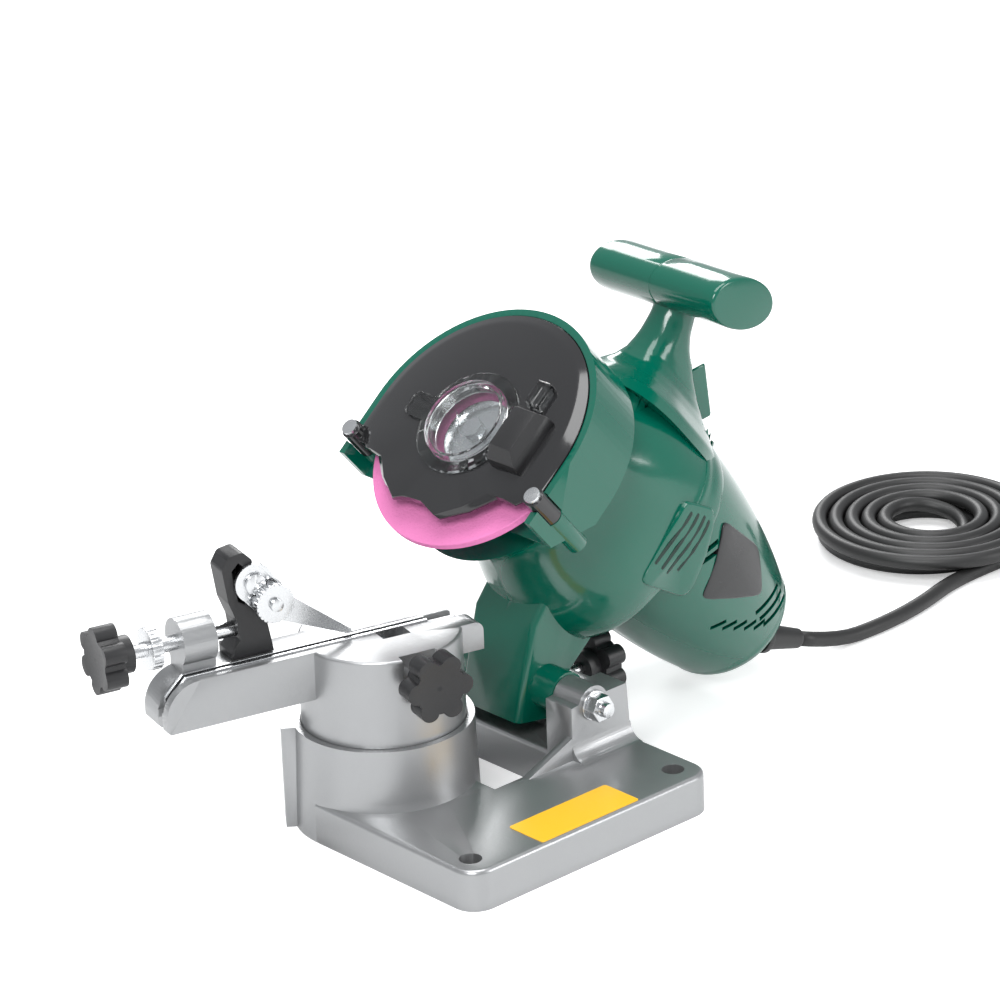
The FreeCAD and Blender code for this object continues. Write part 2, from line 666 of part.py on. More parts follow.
def make_leg():
    """Leg from the gear case down to the pivot, with a boss on each side."""
    p = pivot_in_head()
    outline = [(60, -24), (leg_front, -44.5), (p.x - 1, -leg_foot_drop), (p.x + 15.5, p.z - 5.8),
               (p.x + 11, p.z + 1.2), (case_back, -46), (case_back, -20)]
    leg = side_plate(outline, -leg_half_width, leg_half_width)
    leg = rounded(leg, 3.0, lambda c: abs(abs(c.y) - leg_half_width) < 0.1 and c.x < 80 and c.z < -30)
    boss_reach = ear_gap / 2 - body_gap
    boss = cylinder(pivot_boss_radius, 2 * boss_reach, Vector(p.x, -boss_reach, p.z), YA)
    return union([leg, boss])


def ellipse_wire(centre, wide, thick, turn):
    """Ellipse in the X-Z plane, its long axis turned from X towards Z."""
    major = Vector(math.cos(turn), 0, math.sin(turn))
    curve = Part.Ellipse(centre + major * wide, centre + Vector(-major.z, 0, major.x) * thick, centre)
    return Part.Wire(curve.toShape())


def make_handle():
    """Barrelled cross bar, loft of ellipses along Y."""
    wires = []
    for share, grow in ((-1.0, 0.86), (-0.55, 0.98), (0.0, 1.0), (0.55, 0.98), (1.0, 0.86)):
        middle = Vector(handle_along, share * handle_half_length, handle_up)
        wires.append(ellipse_wire(middle, handle_wide * grow, handle_thick * grow, math.radians(handle_turn)))
    bar = Part.makeLoft(wires, True, False)
    return bar


def make_neck():
    """Post between the case and the cross bar, wider towards the case."""
    def section(up, front, back, half):
        corners = [Vector(front, -half, up), Vector(back, -half, up), Vector(back, half, up),
                   Vector(front, half, up)]
        return Part.makePolygon(corners + corners[:1])
    lower = section(motor_offset + 20, neck_front - 4, case_back + 6, neck_half_width + 12)
    middle = section(motor_offset + 48, neck_front, case_back - 2, neck_half_width + 2)
    upper = section(handle_up - 2, neck_front + 1, neck_back - 8, neck_half_width - 3)
    neck = Part.makeLoft([lower, middle, upper], True, True)
    return rounded(neck, 5.0, lambda c: abs(c.y) > 6 and c.z > motor_offset + 21 and c.z < handle_up - 3)


def make_housing():
    case = Part.makeLoft(case_sections(0), True, False)
    barrel = barrel_profile(0, 79, barrel_end)
    bosses = [cylinder(cover_post_radius, guard_front + guard_back,
                       Vector(-guard_front, side * cover_post_spread, -cover_post_drop), XA) for side in (-1, 1)]
    body = union([make_guard(), case, barrel, make_leg(), make_neck(), make_handle()] + bosses)
    for side in (-1, 1):
        seat = Vector(-guard_front - 1, side * cover_post_spread, -cover_post_drop)
        body = body.cut(cylinder(cover_screw_radius, 22, seat, XA))
        body = body.cut(cylinder(cover_post_radius + cover_gap, cover_post_end + cover_gap - seat.x, seat, XA))
    for along, up, far in housing_screw_places:
        body = body.cut(cylinder(housing_screw_radius, housing_screw_length, Vector(along, far - 4, up), -YA))
        body = body.cut(cylinder(housing_screw_head, 40, Vector(along, far - 4, up), YA))
    p = pivot_in_head()
    body = body.cut(cylinder(pivot_bolt_radius + running_gap, 80, Vector(p.x, -40, p.z), YA))
    # Cavities: gear room, motor room, spindle and shaft bearings
    gear_room = Part.makeCylinder(gear_teeth / 2 + 4, gear_thickness + 6, Vector(gear_start - 3, 0, 0), XA)
    pinion_room = Part.makeCylinder(pinion_teeth / 2 + 8, gear_thickness + 6,
                                    Vector(gear_start - 3, 0, motor_offset), XA)
    motor_room = Part.makeCylinder(motor_room_radius, barrel_end - 17 - 82,
                                   Vector(82, 0, motor_offset), XA)
    spindle_bore = cylinder(spindle_radius + 0.6, 84, Vector(7, 0, 0), XA)
    body = body.cut(gear_room).cut(pinion_room).cut(motor_room).cut(spindle_bore)
    for seat in bearing_seats():
        radius = spindle_bearing_radius if seat.z == 0 else motor_bearing_radius
        body = body.cut(cylinder(radius, bearing_width, seat, XA))
    body = body.cut(cylinder(shaft_radius + 0.6, barrel_end - 60, Vector(gear_start - 4, 0, motor_offset), XA))
    body = body.cut(Part.makeCompound(vents()))
    return body


def bearing_seats():
    """Front faces of the four ball bearings: two for each shaft."""
    return [Vector(26, 0, 0), Vector(gear_start + gear_thickness + gear_room_gap, 0, 0),
            Vector(gear_start + gear_thickness + gear_room_gap, 0, motor_offset),
            Vector(barrel_end - rear_bearing_inset, 0, motor_offset)]


def slot_row(count, pitch, start_along, start_up, length, width, lean, climb):
    """Row of slanted slots on the near side, from the skin into the motor room."""
    cuts = []
    for index in range(count):
        slot = box(-width / 2, width / 2, -60, -motor_room_radius + 11.3, -length / 2, length / 2)
        slot.rotate(Vector(0, 0, 0), YA, lean)
        slot.translate(Vector(start_along + index * pitch, 0, start_up + index * climb))
        cuts.append(slot)
    return cuts


def vents():
    """Air slots, the same on both shells: front panel, lower row and tail."""
    cuts = slot_row(4, 6.5, 84, motor_offset - 13, 20, 2.4, 25, 4.2)
    cuts += slot_row(5, 5.5, 138, motor_offset - 17, 7, 2.0, 24, 3.4)
    cuts += slot_row(3, 5.5, 156, motor_offset + 7, 20, 2.2, 24, 0)
    return cuts + [cut.mirror(Vector(0, 0, 0), YA) for cut in cuts]


def halves(body):
    """Split the housing at its middle plane into its two shells."""
    reach = 260
    near = body.common(box(-reach, reach, -reach, 0, -reach, reach))
    far = body.common(box(-reach, reach, 0, reach, -reach, reach))
    return near, far


def toothed(teeth, bore, start, phase):
    """Spur gear with straight-flanked teeth that clear their mate slightly."""
    root = gear_module * (teeth / 2 - 1.25)
    tip = gear_module * (teeth / 2 + 0.9)
    middle = gear_module * teeth / 2
    half_middle = gear_module * math.pi / 4 - 0.09
    points = []
    for k in range(teeth):
        centre = phase + 2 * math.pi * k / teeth
        for radius, width in ((root, 1.42), (middle, 1.0), (tip, 0.52)):
            points.append((centre - half_middle * width / radius, radius))
        for radius, width in ((tip, 0.52), (middle, 1.0), (root, 1.42)):
            points.append((centre + half_middle * width / radius, radius))
    corners = [Vector(0, r * math.sin(t), r * math.cos(t)) for t, r in points]
    gear = Part.Face(Part.makePolygon(corners + corners[:1])).extrude(Vector(gear_thickness, 0, 0))
    gear.translate(start)
    return gear.cut(cylinder(bore, gear_thickness + 2, start - Vector(1, 0, 0), XA))


def make_drive():
    """Wheel, flanges, spindle, gears, motor and bearings, in the head's frame."""
    parts = {}
    half = wheel_thickness / 2
    parts["grinding_wheel"] = ring(wheel_radius, wheel_bore_radius + running_gap, wheel_thickness,
                                   Vector(-half, 0, 0), XA)
    front = -half - flange_thickness
    parts["outer_flange"] = ring(flange_radius, wheel_bolt_radius + running_gap, flange_thickness,
                                 Vector(front, 0, 0), XA)
    parts["inner_flange"] = ring(flange_radius, spindle_radius, flange_thickness, Vector(half, 0, 0), XA)
    head = hexagon(wheel_bolt_flats, wheel_bolt_head, Vector(front - wheel_bolt_head, 0, 0), XA)
    parts["wheel_bolt"] = union([head, cylinder(wheel_bolt_radius, wheel_bolt_length, Vector(front - 0.5, 0, 0), XA)])
    spindle_end = gear_start + gear_thickness + gear_room_gap + bearing_width
    spindle = cylinder(spindle_radius, spindle_end + half, Vector(-half, 0, 0), XA)
    parts["spindle"] = spindle.cut(cylinder(wheel_bolt_radius, wheel_bolt_length + half, Vector(-half - 0.5, 0, 0), XA))
    parts["spindle_gear"] = toothed(gear_teeth, spindle_radius, Vector(gear_start, 0, 0), 0)
    pinion = toothed(pinion_teeth, pinion_bore_radius, Vector(gear_start, 0, motor_offset),
                     math.pi + math.pi / pinion_teeth)
    parts["motor_pinion"] = pinion
    shaft_front = gear_start + gear_thickness + 1
    shaft_end = barrel_end - rear_bearing_inset + bearing_width
    parts["motor_shaft"] = union([
        cylinder(pinion_bore_radius, gear_thickness + 3, Vector(gear_start - 1, 0, motor_offset), XA),
        cylinder(shaft_radius, shaft_end - shaft_front, Vector(shaft_front, 0, motor_offset), XA)])
    axis = Vector(0, 0, motor_offset)
    parts["rotor_core"] = ring(rotor_radius, shaft_radius, rotor_length, axis + XA * rotor_start, XA)
    parts["stator"] = ring(stator_radius, rotor_radius + rotor_gap, stator_length,
                           axis + XA * (rotor_start + (rotor_length - stator_length) / 2), XA)
    commutator_start = rotor_start + rotor_length + 2
    parts["commutator"] = ring(commutator_radius, shaft_radius, commutator_length, axis + XA * commutator_start, XA)
    brush_middle = commutator_start + commutator_length / 2
    brushes = []
    for side in (-1, 1):
        y0 = side * (commutator_radius + running_gap)
        y1 = side * (commutator_radius + brush_length)
        brush = box(brush_middle - 3, brush_middle + 3, min(y0, y1), max(y0, y1), motor_offset - 3, motor_offset + 3)
        brushes.append(brush)
    parts["carbon_brushes"] = Part.makeCompound(brushes)
    parts["cooling_fan"] = make_fan(axis)
    seats = bearing_seats()
    for name, radius, bore, seat in (("front_spindle_bearing", spindle_bearing_radius, spindle_radius, seats[0]),
                                     ("rear_spindle_bearing", spindle_bearing_radius, spindle_radius, seats[1]),
                                     ("front_motor_bearing", motor_bearing_radius, shaft_radius, seats[2]),
                                     ("rear_motor_bearing", motor_bearing_radius, shaft_radius, seats[3])):
        parts[name] = ring(radius - running_gap, bore + running_gap, bearing_width, seat, XA)
    return parts


def make_fan(axis):
    """Radial fan: a disc on a hub with straight blades."""
    disc = ring(fan_radius, shaft_radius, 1.6, axis + XA * fan_start, XA)
    hub = ring(shaft_radius + 3, shaft_radius, 9, axis + XA * fan_start, XA)
    blades = []
    for k in range(fan_blades):
        blade = box(0, 8, -0.6, 0.6, 12, fan_radius - 0.5)
        blade.rotate(Vector(0, 0, 0), XA, 360 * k / fan_blades)
        blade.translate(axis + XA * fan_start)
        blades.append(blade)
    return union([disc, hub] + blades)


def make_cover():
    """Black wheel cover: sloped rim, round window opening, scalloped lower edge."""
    reach = guard_radius - guard_wall - cover_gap
    inset = (reach - cover_slope) / reach
    back = -guard_front + 0.5
    step = back - cover_lip
    front = back - cover_thickness
    outline = [(reach, 0), (reach, -cover_post_drop + 4), (44, -cover_post_drop - 4.5), (35, -25), (26, -33),
               (14.5, -39.4), (9, -37.3), (-2, -36.8), (-13.5, -40.2), (-25, -33), (-34.3, -24),
               (-44, -cover_post_drop - 4.5), (-reach, -cover_post_drop + 4), (-reach, 0)]
    upper = union([cylinder(reach, cover_lip, Vector(step, 0, 0), XA),
                   Part.makeCone(reach, reach - cover_slope, step - front, Vector(step, 0, 0), -XA)])
    upper = upper.common(box(-50, 50, -reach - 1, reach + 1, 0, reach + 1))
    wires = []
    for along, share in ((back, 1), (step, 1), (front, inset)):
        points = [Vector(along, y * share, u) for y, u in outline]
        wires.append(Part.makePolygon(points + points[:1]))
    lower = union([Part.makeLoft(wires[:2], True, True), Part.makeLoft(wires[1:], True, True)])
    cover = union([upper, lower])
    posts = []
    for side in (-1, 1):
        seat = Vector(front - cover_post_stand, side * cover_post_spread, -cover_post_drop)
        cover = cover.cut(cylinder(cover_post_radius, 20, seat, XA))
        post = cylinder(cover_post_radius, cover_post_end - seat.x, seat, XA)
        tie = box(step, back, min(side * 44, side * cover_post_spread), max(side * 44, side * cover_post_spread),
                  -cover_post_drop - 2.5, -cover_post_drop + 4)
        posts += [post, tie]
    cover = union([cover] + posts)
    cover = cover.cut(cylinder(window_bore, 40, Vector(-36, 0, 0), XA))
    for side in (-1, 1):
        cover = cover.cut(cylinder(cover_screw_radius, 40, Vector(-30, side * cover_post_spread,
                                                                  -cover_post_drop), XA))
    return cover, front


def make_window(face):
    """Clear round window with a raised lid and a tab, its latch and clip."""
    dome = union([cylinder(window_bore - body_gap, window_rise, Vector(face, 0, 0), -XA),
                  cylinder(window_radius, window_thickness, Vector(face, 0, 0), -XA),
                  cylinder(window_bore - body_gap, cover_thickness - 0.5, Vector(face, 0, 0), XA)])
    tab = box(face - window_thickness, face, window_radius - 6, window_tab_reach, -5.5, 5.5)
    tab = rounded(tab, 3.5, lambda c: c.y > window_tab_reach - 0.1 and abs(c.z) > 5)
    hollow = cylinder(window_bore - 2, window_rise + cover_thickness, Vector(face - window_rise + window_thickness, 0,
                                                                              0), XA)
    window = union([dome, tab]).cut(hollow)
    sections = []
    for rise, y0, y1, u0, u1 in ((0, -40, -23.6, -13, 12), (5, -39.5, -24, -12.5, 12), (latch_height, -37.5, -26, -8,
                                                                                      10)):
        corners = [Vector(face - rise, y0, u0), Vector(face - rise, y1, u0), Vector(face - rise, y1, u1),
                   Vector(face - rise, y0, u1)]
        sections.append(Part.makePolygon(corners + corners[:1]))
    latch = union([Part.makeLoft(sections[:2], True, True), Part.makeLoft(sections[1:], True, True)])
    clip = box(face - 4.5, face, -30.5, -23, 14.5, 26)
    clip = clip.makeFillet(1.2, [e for e in clip.Edges if e.CenterOfMass.x < face - 2])
    return window, latch, clip


def fillet_path(points):
    """Straight runs joined by the largest tangent arcs that the runs allow."""
    edges = []
    radii = []
    start = points[0]
    for before, corner, after in zip(points, points[1:], points[2:]):
        d0 = (corner - before).normalize()
        d1 = (after - corner).normalize()
        turn = d0.getAngle(d1)
        reach = 0.45 * min((corner - before).Length, (after - corner).Length)
        radii.append(reach / math.tan(turn / 2))
        enter = corner - d0 * reach
        leave = corner + d1 * reach
        inward = (d1 - d0).normalize()
        middle = corner + inward * (radii[-1] / math.cos(turn / 2) - radii[-1])
        edges.append(Part.LineSegment(start, enter).toShape())
        edges.append(Part.Arc(enter, middle, leave).toShape())
        start = leave
    edges.append(Part.LineSegment(start, points[-1]).toShape())
    return Part.Wire(edges), radii


def tube_along(wire, direction):
    start = wire.Vertexes[0].Point
    circle = Part.Wire(Part.makeCircle(cord_radius, start, direction))
    return wire.makePipeShell([circle], True, False)


def make_cord(relief_end, relief_direction):
    """Free stretch from the strain relief, the put-away coil, tail and plug."""
    floor = cord_radius + 0.1
    route = [relief_end] + [Vector(x, y, floor if z < 0 else z) for x, y, z in cord_route]
    free_wire, radii = fillet_path(route)
    print("cord radii", [round(r, 1) for r in radii])
    free = tube_along(free_wire, relief_direction)
    length = free_wire.Length
    print("free cord", round(length, 1), "volume ratio", round(free.Volume / (math.pi * cord_radius ** 2 * length), 4))
    pitch = 2 * cord_radius + coil_gap
    joint = route[-1]
    centre = joint + Vector(0, coil_outer, 0)
    coil, coil_end, coil_length = make_coil(centre, pitch)
    tail_route = [coil_end + Vector(*step) for step in tail_steps]
    tail_route = [coil_end] + tail_route
    tail_wire, tail_radii = fillet_path(tail_route)
    print("tail radii", [round(r, 1) for r in tail_radii])
    tail = tube_along(tail_wire, tail_route[1] - tail_route[0])
    print("cord length in all", round(length + coil_length + tail_wire.Length))
    return free, coil, tail, tail_route[-1], (tail_route[-1] - tail_route[-2]).normalize()


def make_coil(centre, pitch):
    """Two layers of flat spiral: inwards below, a climb, outwards above."""
    edges = []
    samples = []
    half_turns = 2 * coil_turns_per_layer
    radius = coil_outer
    point = centre + Vector(0, -radius, 0)
    side = 1
    length = 0

    def half_arc(start, radius, side, rise):
        middle_of = start + Vector(0, side * radius, 0)
        end = start + Vector(0, 2 * side * radius, rise)
        if rise == 0:
            return [Part.Arc(start, middle_of + Vector(side * radius, 0, 0), end).toShape()], end
        reach = math.sqrt(radius ** 2 + rise ** 2 / 4)
        joint = middle_of + Vector(side * reach, 0, rise / 2)
        arcs = []
        for a, b, tangent in ((start, joint, Vector(side, 0, 0)), (end, joint, Vector(side, 0, 0))):
            chord = b - a
            normal = (chord - tangent * chord.dot(tangent)).normalize()
            r = chord.Length ** 2 / (2 * chord.dot(normal))
            hub = a + normal * r
            spoke = ((a - hub).normalize() + (b - hub).normalize()).normalize()
            arcs.append(Part.Arc(a, hub + spoke * r, b).toShape())
        return arcs, end

    for layer in (0, 1):
        for turn in range(half_turns + layer):
            arcs, end = half_arc(point, radius, side, 0)
            edges += arcs
            side = -side
            point = end
            radius += pitch / 2 if layer else -pitch / 2
        if layer == 0:
            arcs, end = half_arc(point, radius, side, pitch)
            edges += arcs
            side = -side
            point = end
            radius += pitch / 2
    wire = Part.Wire(Part.__sortEdges__(edges))
    for edge in wire.OrderedEdges:
        samples += edge.discretize(24)
    length = wire.Length
    least = 1e9
    walked = [0.0]
    for a, b in zip(samples, samples[1:]):
        walked.append(walked[-1] + (b - a).Length)
    for i in range(0, len(samples), 2):
        for j in range(i + 1, len(samples)):
            if walked[j] - walked[i] > 4 * cord_radius * 2:
                least = min(least, (samples[j] - samples[i]).Length)
    print("coil length", round(length), "least gap to itself", round(least - 2 * cord_radius, 2))
    circle = Part.Wire(Part.makeCircle(cord_radius, centre + Vector(0, -coil_outer, 0), XA))
    return wire.makePipeShell([circle], True, False), point, length


def make_plug(start, direction):
    """Flat two-pin plug with a ribbed neck."""
    body = box(8, 34, -13, 13, -7, 7)
    body = body.makeFillet(3.0, body.Edges)
    neck = Part.makeCone(cord_radius + 1.2, 6, 10)
    neck.rotate(Vector(0, 0, 0), YA, 90)
    pins = [cylinder(2.4, 19, Vector(33, y, 0), XA) for y in (-9.5, 9.5)]
    plug = union([body, neck])
    pins = Part.makeCompound([pin.cut(plug) for pin in pins])
    for shape in (plug, pins):
        shape.Placement = Placement(start, Rotation(XA, direction))
    return plug, pins


def make_turret_lock():
    """Bolt and washer in the cup's underside that clamp the turret."""
    seat = lock_recess_depth
    washer = ring(lock_recess_radius - 2, lock_screw_radius + 0.4, washer_thickness,
                  Vector(0, 0, seat - washer_thickness), ZA)
    head_top = seat - washer_thickness
    head = hexagon(lock_head_flats, lock_head_height, Vector(0, 0, head_top - lock_head_height), ZA)
    shank = cylinder(lock_screw_radius, lock_screw_length, Vector(0, 0, head_top - 1), ZA)
    return {"turret_lock_bolt": union([head, shank]), "turret_lock_washer": washer}


def make_pivot():
    """Through bolt, washers, lock nut and the return spring."""
    y0 = -ear_outer - washer_thickness
    axis = Vector(pivot_x, 0, pivot_height)
    reach = ear_outer + washer_thickness
    thread = nut_height + 3
    shank = cylinder(pivot_bolt_radius, 2 * reach + thread, axis - YA * (reach + thread), YA)
    bolt = union([shank, hexagon(nut_flats, 4.0, axis + YA * reach, YA)])
    washers = [ring(washer_radius, pivot_bolt_radius + running_gap, washer_thickness, axis + YA * y, YA)
               for y in (y0, ear_outer)]
    nut = hexagon(nut_flats, nut_height, axis + YA * (y0 - nut_height), YA)
    nut = nut.cut(cylinder(pivot_bolt_radius, nut_height + 2, axis + YA * (y0 - nut_height - 1), YA))
    return bolt, Part.makeCompound(washers), nut


def make_depth_stop():
    """Screw with a hand knob behind the pivot that sets the wheel's depth."""
    z = plate_height + depth_axis_rise
    start = bar_right - bridge_thickness - 0.3
    screw = cylinder(depth_screw_radius, depth_screw_length, Vector(start, 0, z), XA)
    knob = lobed_knob(Vector(start + depth_screw_length - knob_bore_depth, 0, z), XA, depth_screw_radius)
    return screw, knob


def make_trigger():
    """Push switch on the back of the neck, and its body inside."""
    slope = math.radians(trigger_slope)
    key = box(-trigger_length / 2, trigger_length / 2, -6.5, 6.5, -6, 3.0)
    key = key.makeFillet(2.0, [e for e in key.Edges if e.CenterOfMass.z > 2.9])
    body = box(-trigger_length / 2 + 1, trigger_length / 2 - 1, -8, 8, -24, -9)
    place = Placement(Vector(trigger_along, 0, trigger_up), Rotation(YA, math.degrees(slope)))
    pocket = box(-trigger_length / 2 - body_gap, trigger_length / 2 + body_gap, -6.5 - body_gap, 6.5 + body_gap, -9, 9)
    room = box(-trigger_length / 2 + 1 - body_gap, trigger_length / 2 - 1 + body_gap, -8 - body_gap, 8 + body_gap,
               -24.3, -8.9)
    for shape in (key, body, pocket, room):
        shape.Placement = place
    return key, body, pocket, room


def make_relief():
    """Tapered sleeve that guides the cord out of the tail."""
    start = Vector(*relief_start)
    direction = Vector(math.cos(math.radians(relief_drop)), 0, -math.sin(math.radians(relief_drop)))
    boot = Part.makeCone(6.0, cord_radius + 1.0, relief_length, start, direction)
    collar = cylinder(7.0, 3.0, start + direction * 2.0, direction)
    end = start + direction * relief_length
    return union([boot, collar]), end, direction


def main():
    os.makedirs("parts", exist_ok=True)
    save("base_casting", make_base())
    turret, window_x, clamp_z = make_turret()
    far_strip, near_strip = make_strips(window_x)
    clamp_screw, clamp_knob = make_clamp(window_x, clamp_z)
    carriage, stop_screw, stop_knob, lock_nut, stop_face = make_stop()
    bracket, flap_pin, finger, flap_stud, flap_nut = make_flap(stop_face)
    turret_parts = {
        "turret": turret, "far_guide_strip": far_strip, "near_guide_strip": near_strip,
        "clamp_screw": clamp_screw, "clamp_knob": clamp_knob, "stop_carriage": carriage,
        "stop_screw": stop_screw, "stop_knob": stop_knob, "stop_lock_nut": lock_nut,
        "stop_bracket": bracket, "stop_pivot_pin": flap_pin, "stop_finger": finger,
        "finger_stud": flap_stud, "finger_nut": flap_nut}
    for name, shape in turret_parts.items():
        save(name, in_turret(shape))
    for name, shape in make_turret_lock().items():
        save(name, shape)
    pivot_bolt, washers, pivot_nut = make_pivot()
    save("pivot_bolt", pivot_bolt)
    save("pivot_washers", washers)
    save("pivot_nut", pivot_nut)
    depth_screw, depth_knob = make_depth_stop()
    save("depth_screw", depth_screw)
    save("depth_knob", depth_knob)
    key, switch, pocket, room = make_trigger()
    relief, relief_end, relief_direction = make_relief()
    housing = make_housing().cut(pocket).cut(room)
    local_relief = relief.copy()
    local_relief.Placement = HEAD.inverse()
    housing = housing.cut(local_relief)
    near, far = halves(housing)
    save("housing_near", in_head(near))
    save("housing_far", in_head(far))
    cover, front = make_cover()
    save("wheel_cover", in_head(cover))
    window, latch, clip = make_window(front)
    save("cover_window", in_head(window))
    save("cover_latch", in_head(latch))
    save("window_clip", in_head(clip))
    bolts = []
    for along, up, skin in housing_screw_places:
        seat = Vector(along, skin - 4, up)
        bolts.append(union([cylinder(housing_screw_radius, housing_screw_length - 0.5, seat, -YA),
                            cylinder(housing_screw_head - 0.2, 2.0, seat, YA)]))
    save("housing_screws", in_head(Part.makeCompound(bolts)))
    screws = []
    for side in (-1, 1):
        seat = Vector(front - cover_post_stand, side * cover_post_spread, -cover_post_drop)
        screws.append(union([cylinder(cover_screw_radius, cover_screw_length, seat, XA),
                             cylinder(3.4, 1.8, seat - XA * 1.8, XA)]))
    save("cover_screws", in_head(Part.makeCompound(screws)))
    save("trigger", in_head(key))
    save("switch_body", in_head(switch))
    for name, shape in make_drive().items():
        save(name, in_head(shape))
    save("strain_relief", relief)
    free, coil, tail, plug_at, plug_direction = make_cord(relief_end, relief_direction)
    save("cord_free", free)
    save("cord_coil", coil)
    save("cord_tail", tail)
    plug, pins = make_plug(plug_at, plug_direction)
    save("plug", plug)
    save("plug_pins", pins)


main()
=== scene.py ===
import bmesh
import bpy
import json
import math
import numpy as np
from mathutils import Matrix, Vector


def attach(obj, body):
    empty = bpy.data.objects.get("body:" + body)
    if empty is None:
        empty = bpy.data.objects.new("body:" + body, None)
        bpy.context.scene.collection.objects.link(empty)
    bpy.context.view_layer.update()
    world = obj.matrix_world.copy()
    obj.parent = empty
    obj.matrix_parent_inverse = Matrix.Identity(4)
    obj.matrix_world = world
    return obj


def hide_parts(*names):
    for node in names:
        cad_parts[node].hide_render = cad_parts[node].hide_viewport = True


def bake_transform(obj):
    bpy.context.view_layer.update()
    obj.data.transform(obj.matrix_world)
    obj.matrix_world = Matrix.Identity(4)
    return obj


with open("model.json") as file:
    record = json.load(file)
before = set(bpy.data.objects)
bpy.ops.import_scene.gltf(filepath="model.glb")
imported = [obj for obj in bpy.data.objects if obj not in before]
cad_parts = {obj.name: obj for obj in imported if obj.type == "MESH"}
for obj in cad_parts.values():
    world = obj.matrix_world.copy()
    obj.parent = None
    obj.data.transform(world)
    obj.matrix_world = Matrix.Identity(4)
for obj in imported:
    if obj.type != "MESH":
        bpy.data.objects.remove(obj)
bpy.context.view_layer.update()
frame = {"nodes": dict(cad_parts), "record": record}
nodes = frame["nodes"]

# Camera: a long lens a little above the bench, looking at the vise's near side.
# Its place was fitted to the photograph with the wheel, the cup and the plate.
view_turn = math.radians(-41.651)
view_rise = math.radians(22.127)
view_roll = math.radians(-2.176)
view_back = np.array([math.sin(view_turn) * math.cos(view_rise), -math.cos(view_turn) * math.cos(view_rise),
                      math.sin(view_rise)])
view_right = np.array([math.cos(view_turn), math.sin(view_turn), 0.0])
view_up = np.cross(view_back, view_right)
rolled_right = view_right * math.cos(view_roll) + view_up * math.sin(view_roll)
rolled_up = view_up * math.cos(view_roll) - view_right * math.sin(view_roll)
lens = bpy.data.cameras.new("camera")
lens.sensor_width = 36.0
lens.lens = 163.55
lens.clip_end = 20.0
camera = bpy.data.objects.new("camera", lens)
camera_at = np.array([-1.07306, -1.17042, 0.79484])
camera.matrix_world = Matrix([[rolled_right[i], rolled_up[i], view_back[i], camera_at[i]] for i in range(3)] +
                             [[0, 0, 0, 1]])
bpy.context.scene.collection.objects.link(camera)
bpy.context.scene.camera = camera


# Floor and light: a white table that the camera sees as plain white, and big
# soft lamps, a key from the upper left and a fill from the right.
def light_panel(name, at, aim, size, power):
    lamp = bpy.data.lights.new(name, "AREA")
    lamp.shape = "RECTANGLE"
    lamp.size, lamp.size_y = size
    lamp.energy = power
    panel = bpy.data.objects.new(name, lamp)
    panel.location = at
    panel.rotation_euler = (Vector(aim) - Vector(at)).to_track_quat("-Z", "Y").to_euler()
    bpy.context.scene.collection.objects.link(panel)
    return panel


light_panel("key_light", (-1.1, -0.7, 1.25), (0.05, 0.08, 0.1), (0.7, 0.7), 20)
light_panel("top_light", (0.1, 0.1, 1.6), (0.1, 0.1, 0.0), (1.2, 0.8), 16)
light_panel("fill_light", (0.9, -1.3, 0.7), (0.1, 0.08, 0.1), (0.5, 0.9), 9)
light_panel("rim_light", (0.9, 1.1, 0.8), (0.1, 0.08, 0.1), (0.5, 0.7), 9)
bpy.context.scene.view_settings.view_transform = "Standard"

world = bpy.data.worlds.new("studio")
bpy.context.scene.world = world
world.use_nodes = True
world.node_tree.nodes["Background"].inputs["Color"].default_value = (0.9, 0.92, 0.95, 1)
world.node_tree.nodes["Background"].inputs["Strength"].default_value = 0.6

floor_mesh = bpy.data.meshes.new("floor")
floor_mesh.from_pydata([(-30, -30, 0), (30, -30, 0), (30, 30, 0), (-30, 30, 0)], [], [(0, 1, 2, 3)])
floor = bpy.data.objects.new("floor", floor_mesh)
bpy.context.scene.collection.objects.link(floor)
floor_look = bpy.data.materials.new("white_table")
floor_look.use_nodes = True
tree = floor_look.node_tree
tree.nodes["Principled BSDF"].inputs["Base Color"].default_value = (0.9, 0.9, 0.9, 1)
tree.nodes["Principled BSDF"].inputs["Roughness"].default_value = 0.6
bright = tree.nodes.new("ShaderNodeEmission")
bright.inputs["Color"].default_value = (1, 1, 1, 1)
bright.inputs["Strength"].default_value = 0.35
both = tree.nodes.new("ShaderNodeAddShader")
tree.links.new(tree.nodes["Principled BSDF"].outputs["BSDF"], both.inputs[0])
tree.links.new(bright.outputs["Emission"], both.inputs[1])
seen = tree.nodes.new("ShaderNodeLightPath")
choose = tree.nodes.new("ShaderNodeMixShader")
tree.links.new(seen.outputs["Is Camera Ray"], choose.inputs["Fac"])
tree.links.new(tree.nodes["Principled BSDF"].outputs["BSDF"], choose.inputs[1])
tree.links.new(both.outputs["Shader"], choose.inputs[2])
tree.links.new(choose.outputs["Shader"], tree.nodes["Material Output"].inputs["Surface"])
floor_mesh.materials.append(floor_look)


# Base casting: die-cast aluminium in satin silver paint, one piece with the
# cup for the turret, the bench plate, the bar and both pivot ears.
def look_parts(name, color, rough, metal=0.0):
    """A new material with its tree, its Principled shader and an Object coordinate."""
    look = bpy.data.materials.new(name)
    look.use_nodes = True
    nodes_of = look.node_tree.nodes
    shader = nodes_of["Principled BSDF"]
    shader.inputs["Base Color"].default_value = (*color, 1)
    shader.inputs["Roughness"].default_value = rough
    shader.inputs["Metallic"].default_value = metal
    place = nodes_of.new("ShaderNodeTexCoord")
    return look, look.node_tree, shader, place


